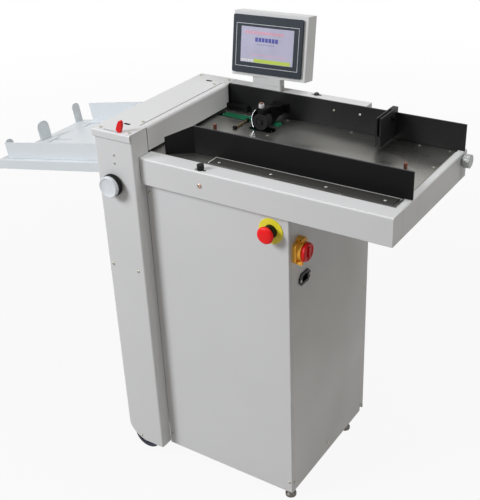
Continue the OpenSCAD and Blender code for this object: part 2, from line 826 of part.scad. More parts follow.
module rear_duct() {
    y0 = fence_back + fence_t + gap;
    x1 = cab_w - 2.5;
    z0 = deck_z + sheet;
    z1 = tower_top - 0.5;
    color([0.84, 0.85, 0.84]) placed() difference() {
        block([gap, y0, z0], [x1, cab_d, z1]);
        block([gap - 1, y0 + sheet, z0 - 1], [x1 - sheet, cab_d - sheet, z1 - sheet]);
        translate([rear_slot_x - 14, rear_slot_y - 3, z1 - 4]) linear_extrude(6) round_rect(28, 6, 2.9);
    }
}

module back_fence() {
    color([0.13, 0.13, 0.14]) placed() {
        difference() {
            union() {
                block([gap, fence_back, plate_top + gap], [table_r, fence_back + fence_t, fence_top]);
                block([cab_w + 4, fence_back + fence_t - eps, plate_top - plate_t],
                    [table_r - rail_side_w - gap, fence_back + fence_t + 12, plate_top]);
                block([cab_w + 4, fence_back + fence_t - eps, plate_top - plate_t],
                    [table_r - rail_side_w - gap, fence_back + fence_t + 2, plate_top + 10]);
            }
            block([table_r - rail_side_w - 1, 0, 0], [table_r + 1, cab_d, rail_top + gap]);
            block([cab_w + 118, fence_back - 1, plate_top + 1],
                [cab_w + 162, fence_back + 1.2, plate_top + 4]);
        }
        // drilled guide block beside the belt
        translate([3, fence_back - 13, plate_top + gap]) difference() {
            cube([56, 12.98, 15]);
            for (i = [0 : 4]) translate([7 + i * 10.5, -1, 8]) rotate([-90, 0, 0])
                cylinder(r = 2.2, h = 8);
            for (i = [0 : 3]) translate([12 + i * 10.5, 6, 8]) cylinder(r = 2, h = 10);
        }
    }
}

// ---- fences and stop ----

strip_x0 = 152;
strip_x1 = table_r - 27;
wing_bend = [92.6, -2];
wing_end = [36, -39];
wing_drop = 25;

module front_fence() {
    t = 3;
    foot_top = plate_top + gap + 2.2;
    wing_low = plate_top + 0.6;
    color([0.13, 0.13, 0.14]) placed() translate([0, fence_y, 0]) {
        difference() {
            block([strip_x0 - 6, -t, foot_top], [table_r, 0, fence_top]);
            block([strip_x1 + 6, -10, 0], [table_r + 1, 10, rail_top + 1]);
        }
        translate([0, 0, wing_low]) linear_extrude(fence_top - wing_low)
            polygon([[strip_x0 - 6, 0], wing_bend + [0, 2], wing_bend + [1, -1],
                [strip_x0 - 6, -t]]);
        // lead-in wing, its top falling in a straight line towards the tower
        intersection() {
            translate([0, 0, wing_low]) linear_extrude(fence_top - wing_low)
                polygon([wing_bend + [0, 2], wing_bend + [1, -1], wing_end + [1.8, -2.4], wing_end]);
            translate([0, 20, 0]) rotate([90, 0, 0]) linear_extrude(80)
                polygon([[wing_end[0] - 1, wing_low], [wing_bend[0] + 2, wing_low],
                    [wing_bend[0] + 2, fence_top], wing_bend + [0, fence_top - wing_bend[1]],
                    [wing_end[0] - 1, fence_top - wing_drop]]);
        }
        // round guide pins on the paper side, with their cross pegs
        for (x = [strip_x0 - 12, strip_x1 + 1]) {
            translate([x, 14, plate_top + gap]) cylinder(r = 4, h = fence_h + 7);
            rod_y([x, -eps, plate_top + 40], 2.2, 12);
        }
    }
}

module fence_foot() {
    color([0.34, 0.35, 0.36]) placed() translate([0, fence_y, plate_top + gap]) difference() {
        block([strip_x0, -2 - foot_strip, 0], [strip_x1, 0, 2.2 - eps]);
        for (i = [0 : 3]) translate([strip_x0 + 22 + i * (strip_x1 - strip_x0 - 44) / 3, -25, 1])
            cylinder(r1 = 2.2, r2 = 3.8, h = 1.3);
    }
}

// Thumb screw through a slotted rail: knob, washer and shank
module lock_knob(top, t) {
    translate([0, 0, top]) {
        cylinder(r = 7.2, h = 1.4);
        translate([0, 0, 1.4]) cylinder(r = 3.4, h = 2.4);
        translate([0, 0, 3.8]) fluted(8, 9, 20, 0.6);
        translate([0, 0, 12.8]) cylinder(r1 = 7, r2 = 5.6, h = 1.2);
    }
    translate([0, 0, top - t - 6]) cylinder(r = 2.5, h = t + 6 + eps);
    translate([0, 0, top - t - 4.2]) cylinder(r = 5, h = 4, $fn = 6);
}

module front_lock_knob() {
    color([0.1, 0.1, 0.1]) placed() translate([slot_x, slot_y, 0]) lock_knob(rail_top, rail_t);
}

module rear_lock_knob() {
    top = tower_top - 0.5;
    color([0.62, 0.60, 0.54]) placed() translate([rear_slot_x, rear_slot_y, 0]) {
        difference() {
            translate([0, 0, top]) union() {
                cylinder(r = 7, h = 1);
                translate([0, 0, 1]) cylinder(r = 6, h = 2.6);
                translate([0, 0, 3.6]) cylinder(r1 = 6, r2 = 4.8, h = 1.4);
            }
            translate([0, 0, top + 2.5]) cylinder(r = 2.6, h = 4, $fn = 6);
        }
        translate([0, 0, top - sheet - 6]) cylinder(r = 2.5, h = sheet + 6 + eps);
        translate([0, 0, top - sheet - 4.2]) cylinder(r = 5, h = 4, $fn = 6);
    }
}

stop_x = cab_w + 64;
stop_w = 13;
stop_y = fence_back - 81;
stop_top = fence_top + 11;

module back_stop() {
    color([0.14, 0.14, 0.15]) placed() difference() {
        union() {
            block([stop_x, stop_y, plate_top + 9], [stop_x + stop_w, fence_back - 0.4, stop_top]);
            // saddle over the fence's upper edge
            block([stop_x, fence_back - 0.5, fence_top + gap],
                [stop_x + stop_w, fence_back + fence_t + 6, stop_top]);
            block([stop_x, fence_back + fence_t + 0.4, fence_top - 14],
                [stop_x + stop_w, fence_back + fence_t + 6, stop_top]);
        }
        block([stop_x + 4, stop_y - 1, plate_top + 34], [stop_x + 9, fence_back - 14, stop_top + 1]);
        rod_x([stop_x + 8, stop_screw_y, stop_screw_z], 2.5 + run_gap, 10);
    }
}

stop_screw_y = fence_back - 22;
stop_screw_z = fence_top - 6;

module back_stop_knob() {
    color([0.72, 0.55, 0.25]) placed() translate([stop_x + stop_w + 0.2, stop_screw_y, stop_screw_z])
        rotate([0, 90, 0]) {
            fluted(6.5, 5, 18, 0.5);
            translate([0, 0, -4]) cylinder(r = 2.5, h = 4 + eps);
            translate([0, 0, 5]) cylinder(r = 3.4, h = 2);
        }
}

side_knob_y = cab_d - 47;
side_knob_z = rail_top - 17;

module side_lay_knob() {
    color([0.66, 0.67, 0.66]) placed() translate([table_r + 1, side_knob_y, side_knob_z])
        rotate([0, 90, 0]) {
            translate([0, 0, -9]) cylinder(r = 4, h = 12);
            translate([0, 0, 1]) cylinder(r = 11, h = 3);
            translate([0, 0, 4 - eps]) fluted(15.5, side_knob_out - 6, 28, 0.8);
            translate([0, 0, side_knob_out - 2 - eps]) cylinder(r1 = 14.5, r2 = 13, h = 1);
            // nut inside the rail
            translate([0, 0, -9]) cylinder(r = 7, h = 5, $fn = 6);
        }
}

// ---- feeder ----

module feed_belt() {
    z = belt_z;
    color([0.10, 0.50, 0.32]) placed()
        belt_loop(belt_yc - belt_w / 2, belt_w,
            [[belt_x, z, belt_pulley + 0.05], [belt_x + belt_span, z, belt_pulley + 0.05]], 1.5);
}

// Shaft and pulley of the take-away belt
module belt_shaft(x) {
    z = belt_z;
    y0 = belt_yc - belt_w / 2 - 17;
    placed() {
        rod_y([x, y0, z], 4, belt_w + 23);
        difference() {
            rod_y([x, belt_yc - belt_w / 2 + 0.5, z], belt_pulley, belt_w - 1);
            rod_y([x, y0, z], 4 - eps, belt_w + 40);
        }
    }
}

module belt_drive_shaft() { color([0.72, 0.73, 0.75]) belt_shaft(belt_x); }
module belt_idler_shaft() { color([0.72, 0.73, 0.75]) belt_shaft(belt_x + belt_span); }

wheel_cz = plate_top + 1 + feed_wheel_d / 2;
arm_y = wheel_cy + feed_wheel_w / 2 + 4;
arm_top = plate_top + 53;
rod_at = 91;
belt_z = plate_top - 0.8 - belt_pulley;

module feed_wheel() {
    axle_l = arm_y + 34 - wheel_cy + feed_wheel_w / 2 + 3;
    front = wheel_cy - feed_wheel_w / 2;
    color([0.09, 0.09, 0.09]) placed() {
        difference() {
            rod_y([wheel_cx, front, wheel_cz], feed_wheel_d / 2, feed_wheel_w, $fn = 96);
            rod_y([wheel_cx, front - 1, wheel_cz], 5 - eps, feed_wheel_w + 2);
            // shallow recess round the hub
            rod_y([wheel_cx, front - 1, wheel_cz], feed_wheel_d * 0.3, 2.5);
        }
        rod_y([wheel_cx, front - 3, wheel_cz], 5, axle_l);
    }
}

// Belt frame under the plate, separator pad, and the arm that holds the feed wheel
// over the stack: the wheel pulls the top sheet off against the pad
module separator_arm() {
    arm_l = wheel_cx - 12;
    arm_w = 26;
    hood_low = plate_top + feed_wheel_d + 3;
    guard_r = 36;
    guard_x = wheel_cx - feed_wheel_d / 2 - 2 + guard_r;
    color([0.14, 0.14, 0.15]) placed() {
        // bearers of the belt shafts, standing on the table pan
        difference() {
            for (x = [belt_x, belt_x + belt_span])
                block([x - 9, belt_yc - belt_w / 2 - 14, deck_z + sheet],
                    [x + 9, belt_yc - belt_w / 2 - 8, plate_top - plate_t - 0.5]);
            for (x = [belt_x, belt_x + belt_span])
                rod_y([x, belt_yc - 60, belt_z], 4 + run_gap, 120);
        }
        // separator pad on its bracket
        block([wheel_cx - 12, wheel_cy - 9, plate_top - 14],
            [wheel_cx + 14, wheel_cy + 9, plate_top + 0.3]);
        block([wheel_cx - 8, wheel_cy - 6, deck_z + sheet],
            [wheel_cx + 10, wheel_cy + 6, plate_top - 14 + eps]);
        // edge rod in two small blocks on the plate
        rod_y([rod_at, wheel_cy - 33, plate_top + 3.4], 2.4, 60);
        for (y = [wheel_cy - 35, wheel_cy + 21])
            block([rod_at - 4, y, plate_top], [rod_at + 4, y + 8, plate_top + 6.5]);
        difference() {
            union() {
                // arm, deep at the wheel and tapering towards the back fence
                translate([arm_l, 0, 0]) rotate([90, 0, 90]) linear_extrude(arm_w)
                    polygon([[arm_y, plate_top + 8], [arm_y + 4, plate_top + 5],
                        [arm_y + 12, plate_top + 7], [arm_y + 32, plate_top + 16],
                        [fence_back - 6, plate_top + 18], [fence_back - 6, arm_top - 15],
                        [arm_y + 34, arm_top - 12], [arm_y, arm_top]]);
                // foot screwed to the back fence
                block([arm_l - 8, fence_back - 6 - eps, plate_top + 16],
                    [arm_l + arm_w + 8, fence_back - eps, arm_top - 13]);
                // hood over the wheel, with a round nose
                translate([wheel_cx - 10, wheel_cy - 11, hood_low]) linear_extrude(arm_top - hood_low)
                    round_rect(24, arm_y - wheel_cy + 14, 5);
            }
            rod_y([wheel_cx, arm_y - 1, wheel_cz], 5 + run_gap, 38);
            translate([wheel_cx - 2, wheel_cy, hood_low - 1]) cylinder(r = 3 + run_gap, h = 20);
            // bolt holes in the arm's right side
            for (i = [0, 1]) rod_x([arm_l + arm_w - 8, arm_y + 14 + i * 20, arm_top - 19], 2.2, 10);
        }
        // bright curved guard on the wheel's downstream side
        intersection() {
            difference() {
                rod_y([guard_x, wheel_cy - 13, wheel_cz + 2], guard_r + 1.4, arm_y - wheel_cy + 18);
                rod_y([guard_x, wheel_cy - 14, wheel_cz + 2], guard_r, arm_y - wheel_cy + 20);
            }
            block([wheel_cx - 40, wheel_cy - 20, plate_top + 5], [wheel_cx, arm_y + 5, arm_top]);
        }
        block([wheel_cx - feed_wheel_d / 2 - 2.4, arm_y, wheel_cz - 6],
            [arm_l + eps, arm_y + 5, wheel_cz + 10]);
    }
}

module separator_knob() {
    color([0.85, 0.84, 0.80]) placed()
        translate([wheel_cx - 2, wheel_cy, arm_top + gap]) {
            fluted(6.5, 9, 20, 0.6);
            translate([0, 0, -3.9]) cylinder(r = 3, h = 3.9 + eps);
            translate([0, 0, 9]) cylinder(r = 4.5, h = 3);
        }
}

// ---- operator panel ----

module panel_frame() {
    translate([panel_x, panel_y, panel_z]) rotate([0, 0, panel_yaw]) rotate([-panel_tilt, 0, 0]) children();
}

module panel_post() {
    y0 = panel_y - 6;
    color([0.82, 0.83, 0.82]) placed() difference() {
        translate([panel_x - post_w / 2, y0, tower_top - 0.5])
            linear_extrude(post_top - tower_top + 0.5) round_rect(post_w, post_d, 2.5);
        translate([panel_x, y0 + post_d / 2, post_top - 10]) cylinder(r = 5 + run_gap, h = 12);
    }
}

module panel_housing() {
    y0 = panel_y - 6;
    x0 = panel_shift - panel_w / 2;
    color([0.83, 0.84, 0.83]) placed() {
        panel_frame() difference() {
            translate([x0, bezel_t, -panel_h / 2]) linear_extrude(panel_h)
                round_rect(panel_w, panel_t, 3);
            translate([8 - bezel_w / 2, bezel_t - 1, 8 - bezel_h / 2])
                cube([bezel_w - 16, panel_t - 6, bezel_h - 16]);
            // vents and cable opening in the back
            for (i = [-3 : 3]) translate([i * 12 - 2, panel_t, 10]) cube([4, bezel_t + 2, 40]);
        }
        // neck that swivels on the post, with its pin
        difference() {
            union() {
                translate([panel_x - post_w / 2, y0, post_top + gap]) linear_extrude(neck_h)
                    round_rect(post_w, post_d, 2.5);
                translate([panel_x, y0 + post_d / 2, post_top - 9.5]) cylinder(r = 5, h = 14);
            }
            panel_frame() translate([x0, -10, -panel_h / 2 + eps]) cube([panel_w, 90, panel_h]);
        }
    }
}

module panel_bezel() {
    color([0.18, 0.22, 0.26]) placed() panel_frame() difference() {
        translate([0, bezel_t - eps, 0]) rotate([90, 0, 0]) translate([-bezel_w / 2, -bezel_h / 2])
            linear_extrude(bezel_t) round_rect(bezel_w, bezel_h, 4);
        // recessed display
        translate([-bezel_w / 2 + 22, -1, -bezel_h / 2 + 26]) cube([bezel_w - 44, 1.6, bezel_h - 52]);
    }
}

// ---- delivery tray ----

// Local frame of the tray: x runs down the slope to the left, z is square to it
module tray_frame() {
    translate([tower_l - gap, 0, tray_z]) rotate([0, -tray_slope, 0]) mirror([1, 0, 0]) children();
}

module delivery_tray() {
    w = tray_b - tray_f;
    groove_x = tray_len - 90;
    color([0.86, 0.90, 0.93]) placed() {
        difference() {
            tray_frame() difference() {
                translate([-10, tray_f, -tray_lip]) cube([tray_len + 10, w, tray_lip]);
                translate([-11, tray_f + tray_sheet, -tray_lip - 1])
                    cube([tray_len + 11 - tray_sheet, w - 2 * tray_sheet, tray_lip + 1 - tray_sheet]);
                // slots that the guides' screws slide in
                for (x = [90, tray_len - 70], y = [tray_f + 30, tray_b - 60])
                    translate([x, y, -4]) cube([5, 30, 6]);
                translate([groove_x - 30, (tray_f + tray_b) / 2 - 3, -4]) cube([90, 6, 6]);
            }
            block([tower_l - eps, 0, 0], [tower_l + 40, cab_d, tower_top]);
        }
        // flange that hooks onto the tower
        block([tower_l - 2.5, tray_f + 0.5, tray_z - tray_lip - 14],
            [tower_l - eps, tray_b - 0.5, tray_z - 1.5]);
    }
}

// Plate with two rounded upper corners, in the y-z plane
module tab(w, h, t) {
    r = w * 0.4;
    rotate([90, 0, 90]) linear_extrude(t) {
        square([w, h - r]);
        translate([r, 0]) square([w - 2 * r, h]);
        for (x = [r, w - r]) translate([x, h - r]) circle(r);
    }
}

module side_guide(y, dir, len, wall_start, high) {
    t = 1.6;
    flange = 28;
    tray_frame() translate([0, y, gap]) mirror([0, dir < 0 ? 1 : 0, 0]) {
        translate([6, 0, 0]) cube([len - 6, flange, t]);
        translate([6, 0, 0]) cube([len - wall_start - 6, t, high]);
        translate([len - t, 0, 0]) tab(flange, high + 4, t);
    }
}

module tray_front_guide() {
    color([0.80, 0.83, 0.86]) placed() side_guide(tray_f + 16, 1, tray_len - 29, 0, guide_h);
}

module tray_back_guide() {
    color([0.80, 0.83, 0.86]) placed() side_guide(tray_b - 5, -1, tray_len - 8, 44, guide_h + 8);
}

module tray_end_stop() {
    color([0.74, 0.74, 0.71]) placed() tray_frame()
        translate([tray_len - 55, (tray_f + tray_b) / 2 - 24, gap]) {
            cube([32, 41, 1.6]);
            translate([30.4, 0, 0]) tab(41, 52, 1.6);
        }
}

// ---- hinged cover ----

module hinged_cover() {
    t = 2;
    bend = 6;
    color([0.84, 0.85, 0.83]) placed() {
        difference() {
            union() {
                translate([0, cover_y1, 0]) rotate([90, 0, 0]) linear_extrude(cover_y1 - cover_y0)
                    difference() {
                        union() {
                            translate([cover_left, tower_top - t]) square([-cover_left - bend, t]);
                            translate([-t, cover_z]) square([t, tower_top - bend - cover_z]);
                            intersection() {
                                translate([-bend, tower_top - bend]) circle(bend);
                                translate([-bend, tower_top - bend]) square([bend, bend]);
                            }
                        }
                        translate([-bend, tower_top - bend]) circle(bend - t);
                    }
                // folded ends
                for (y = [cover_y0, cover_y1 - t]) translate([0, y + t, 0]) rotate([90, 0, 0])
                    linear_extrude(t) polygon([[cover_left, tower_top - t], [cover_left, tower_top - 8],
                        [-t - 3, cover_z + 3], [-t + eps, cover_z + 3], [-t + eps, tower_top - bend],
                        [-bend, tower_top - t]]);
            }
            // notch in the lower edge at the rear
            block([cover_left - 1, cover_y1 - 10, 0], [1, cover_y1 + 1, cover_z + 10]);
        }
        rod_y([hinge_x, cover_y0 - 5.2, hinge_z], hinge_r, 5.2 + eps);
        rod_y([hinge_x, cover_y1 - eps, hinge_z], hinge_r, 5.2);
    }
}

// ---- release lever ----

lever_x = -57;
lever_z = tower_top - 56;
lever_a = 19.5;

module release_lever() {
    color([0.88, 0.10, 0.10]) placed() translate([lever_x, lever_y, lever_z]) {
        difference() {
            union() {
                rotate([0, lever_a, 0]) block([-4, -1, 0], [4, 1, 70]);
                rod_y([0, -1, 0], 7, 4);
            }
            rod_y([0, -5, 0], 4 + run_gap, 10);
        }
        // grip above the cover
        rotate([0, lever_a, 0]) translate([0, 3.5, 62]) rotate([90, 0, 0]) linear_extrude(7) {
            translate([-6.5, 0]) square([13, 15]);
            polygon([[-6.5, 15], [6.5, 15], [4.4, 24], [-4.4, 24]]);
            translate([0, 23]) circle(4.6);
        }
    }
}

// ---- wheels, feet, fasteners ----

module transport_wheel(y) {
    placed() translate([wheel_x, y, wheel_r]) rotate([90, 0, 0]) rotate_extrude($fn = 96)
        polygon([[axle_r + run_gap, -11], [13, -11], [13, -5], [wheel_r - 11, -5],
            [wheel_r - 9, -10], [wheel_r - 2.5, -10.5], [wheel_r, -8], [wheel_r, 8],
            [wheel_r - 2.5, 10.5], [wheel_r - 9, 10], [wheel_r - 11, 5], [13, 5], [13, 11],
            [axle_r + run_gap, 11]]);
}

module front_wheel() { color([0.20, 0.20, 0.24]) transport_wheel(wheel_yf); }
module rear_wheel() { color([0.20, 0.20, 0.24]) transport_wheel(wheel_yb); }

module levelling_foot(y) {
    placed() translate([foot_x, y, 0]) {
        cylinder(r1 = 14, r2 = 14, h = 6);
        translate([0, 0, 6]) cylinder(r1 = 14, r2 = 8, h = 5);
        cylinder(r = 5, h = foot_h + 34);
        translate([0, 0, foot_h - 6]) cylinder(r = 8.6, h = 7, $fn = 6);
    }
}

module front_foot() { color([0.35, 0.36, 0.37]) levelling_foot(foot_yf); }
module rear_foot() { color([0.35, 0.36, 0.37]) levelling_foot(foot_yb); }

// Screws by face: each list holds places on that face
top_screws = [[-26.6, 42], [-30.5, fence_back - 21], [tower_l + 18, -28], [-9.5, -28],
    [tower_l + 10, cab_d - 15], [-14.7, cab_d - 15]];
tower_screws = [[tower_l + 55, tower_top - 58, 2.4], [tower_l + 54, tower_top - 78, 2.4],
    [tower_l + 14, tower_top - 353, 3.6], [-20, tower_top - 353, 3.6], [tower_l + 40, 41, 3.6]];
front_screws = [[8, deck_z - 28], [8, foot_h + 32], [cab_w - 8, foot_h + 32]];
right_screws = [[cab_d - 12, rail_top - 438], [cab_d - 14, foot_h + 20],
    [cab_d - 206, foot_h + 24], [15, foot_h + 24]];

module cover_screws() {
    color([0.62, 0.60, 0.54]) placed() {
        for (p = top_screws) translate([p[0], p[1], tower_top]) screw_head();
        for (p = tower_screws) translate([p[0], tower_f, p[1]]) rotate([90, 0, 0]) screw_head(p[2]);
        for (p = front_screws) translate([p[0], 0, p[1]]) rotate([90, 0, 0]) screw_head();
        for (p = right_screws) translate([cab_w, p[0], p[1]]) rotate([0, 90, 0]) screw_head();
        // hexagon bolt on the front rail and inlet screws
        translate([slot_x + 2.5, rail_f, rail_top - 33]) rotate([90, 0, 0]) screw_head(5.5);
        for (s = [-1, 1]) translate([cab_w + 3, inlet_y + s * 20, inlet_z]) rotate([0, 90, 0])
            screw_head(2.8);
        translate([cab_w - 82, fence_back, fence_top - 22]) rotate([90, 0, 0]) screw_head(2.8);
        // countersunk screws of the table plate
        for (p = plate_screws) translate([p[0], p[1], plate_top - 1.2]) difference() {
            cylinder(r1 = 2.35, r2 = 3.8, h = 1.1);
            translate([0, 0, 0.4]) cylinder(r = 1.5, h = 2, $fn = 6);
        }
        for (x = [40, cab_w - 40], z = [foot_h + 30, deck_z - 30])
            translate([x, cab_d, z]) rotate([-90, 0, 0]) screw_head();
    }
}

base_pan();
corner_posts();
front_panel();
right_panel();
back_panel();
tower_front_cover();
tower_left_panel();
tower_top_cover();
front_rail();
right_rail();
table_pan();
table_plate();
rear_duct();
back_fence();
panel_post();
side_plates();
crease_blade();
estop_collar();
estop_legend();
switch_box();
power_inlet();
feed_belt();
separator_arm();
drive_motors();
control_box();
timing_belts();
delivery_tray();
cover_screws();
shaft_bearings();
hinged_cover();
hand_knob();
main_shaft();
die_beam();
infeed_lower_roller();
infeed_upper_roller();
outfeed_lower_roller();
outfeed_upper_roller();
release_lever();
estop_button();
switch_flap();
front_fence();
fence_foot();
front_lock_knob();
rear_lock_knob();
back_stop();
back_stop_knob();
side_lay_knob();
feed_wheel();
separator_knob();
belt_drive_shaft();
belt_idler_shaft();
panel_housing();
panel_bezel();
tray_front_guide();
tray_back_guide();
tray_end_stop();
front_wheel();
rear_wheel();
front_foot();
rear_foot();
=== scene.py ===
import json
import math

import bpy
from mathutils import Matrix, Vector


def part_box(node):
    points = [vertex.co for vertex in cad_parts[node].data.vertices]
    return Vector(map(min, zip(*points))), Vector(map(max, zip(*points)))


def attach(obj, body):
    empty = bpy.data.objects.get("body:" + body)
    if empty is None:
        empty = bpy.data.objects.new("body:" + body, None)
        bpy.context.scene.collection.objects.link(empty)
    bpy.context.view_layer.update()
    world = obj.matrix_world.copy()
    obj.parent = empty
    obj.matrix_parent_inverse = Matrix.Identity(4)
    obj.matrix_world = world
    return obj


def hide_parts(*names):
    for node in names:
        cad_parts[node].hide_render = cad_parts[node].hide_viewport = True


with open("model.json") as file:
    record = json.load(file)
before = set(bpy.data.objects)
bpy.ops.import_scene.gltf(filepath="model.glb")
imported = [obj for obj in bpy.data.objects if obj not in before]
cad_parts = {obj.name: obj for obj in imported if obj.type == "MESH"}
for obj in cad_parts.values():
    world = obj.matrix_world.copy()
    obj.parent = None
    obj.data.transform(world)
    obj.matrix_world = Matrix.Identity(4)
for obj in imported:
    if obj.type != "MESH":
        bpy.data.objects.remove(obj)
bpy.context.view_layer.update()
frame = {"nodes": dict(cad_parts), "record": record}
NODES = frame["nodes"]
SCENE = bpy.context.scene
MM = 0.001

# ---- places on the machine, in millimetres from its zero, found from the frame ----

# the zero is the cabinet's front left lower corner, on the floor; the front panel starts
# this far from it
PANEL_INSET = Vector((0.3, 0, 22))
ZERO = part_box("front_panel")[0] - PANEL_INSET * MM


def at(x, y, z):
    """A point given in millimetres from the machine's zero, in metres in the row frame."""
    return ZERO + Vector((x, y, z)) * MM


def box_mm(node):
    """A node's lowest and highest corners at rest, in millimetres from the machine's zero."""
    return [(corner - ZERO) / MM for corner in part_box(node)]


def middle(node):
    low, high = box_mm(node)
    return (low + high) / 2


# farther than any point of the machine
REACH = 2000
ALL = (-REACH, REACH)

FOOT_LOW, FOOT_HIGH = box_mm("fence_foot")
FENCE_LOW, FENCE_HIGH = box_mm("back_fence")
BLADE_LOW, BLADE_HIGH = box_mm("crease_blade")
BLADE_X = middle("crease_blade").x
CAP_TOP = box_mm("separator_knob")[1].z
COVER_TOP = box_mm("tower_top_cover")[1].z
WHEEL_CENTRE = Vector((middle("feed_wheel").x, box_mm("feed_wheel")[0].y + 15,
                       middle("feed_wheel").z))
# the hand knob's middle, where it meets the tower's cover
KNOB_CENTRE = Vector((middle("hand_knob").x, box_mm("hand_knob")[1].y, middle("hand_knob").z))

# ---- camera: the photograph's viewing angle, found from the cabinet's edges ----

AZIMUTH = 34.331
ELEVATION = 29.075
ROLL = -2.549
FOCAL_PX = 900.566
FRAME_H_PX = 500
SENSOR_MM = 36.0
# the camera's place from the machine's zero, in millimetres
EYE = (1238.8, -1442.9, 1658.1)
# how far it sees, in metres
FAR_CLIP = 50


def add_camera():
    az = math.radians(AZIMUTH)
    el = math.radians(ELEVATION)
    back = Vector((math.sin(az) * math.cos(el), -math.cos(az) * math.cos(el), math.sin(el)))
    right = (-back).cross(Vector((0, 0, 1))).normalized()
    up = right.cross(-back)
    c = math.cos(math.radians(ROLL))
    s = math.sin(math.radians(ROLL))
    right, up = c * right + s * up, c * up - s * right
    data = bpy.data.cameras.new("photo_camera")
    data.sensor_width = SENSOR_MM
    data.lens = FOCAL_PX * SENSOR_MM / FRAME_H_PX
    data.clip_end = FAR_CLIP
    cam = bpy.data.objects.new("photo_camera", data)
    turn = Matrix((right, up, back)).transposed().to_4x4()
    cam.matrix_world = Matrix.Translation(at(*EYE)) @ turn
    SCENE.collection.objects.link(cam)
    SCENE.camera = cam


# ---- node trees ----

# most of a noise texture's values lie between these two
NOISE_LOW = 0.3
NOISE_HIGH = 0.7
# a mix node has sockets for each type of data; these are a value's and a colour's
MIX_FACTOR = 0
VALUE_A, VALUE_B, VALUE_OUT = 2, 3, 0
COLOUR_A, COLOUR_B, COLOUR_OUT = 6, 7, 2


class Tree:
    """A small helper round a node tree."""

    def __init__(self, tree):
        self.nodes = tree.nodes
        self.links = tree.links

    def add(self, kind, **settings):
        """A new node, with inputs or other settings given by name."""
        node = self.nodes.new(kind)
        for key, value in settings.items():
            if key in node.inputs:
                node.inputs[key].default_value = value
            else:
                setattr(node, key, value)
        return node

    def link(self, source, target):
        self.links.new(source, target)

    def maths(self, operation, a, b):
        node = self.add("ShaderNodeMath", operation=operation)
        self.link(a, node.inputs[0])
        self.link(b, node.inputs[1])
        return node.outputs["Value"]

    def backdrop_rays(self):
        """1 for the rays that see the white backdrop: from the camera, mirrors and glass."""
        path = self.add("ShaderNodeLightPath").outputs
        plain = self.maths("MAXIMUM", path["Is Camera Ray"], path["Is Glossy Ray"])
        return self.maths("MAXIMUM", plain, path["Is Transmission Ray"])

    def mix_shaders(self, fac, a, b):
        mix = self.add("ShaderNodeMixShader")
        self.link(fac, mix.inputs["Fac"])
        self.link(a, mix.inputs[1])
        self.link(b, mix.inputs[2])
        return mix.outputs["Shader"]


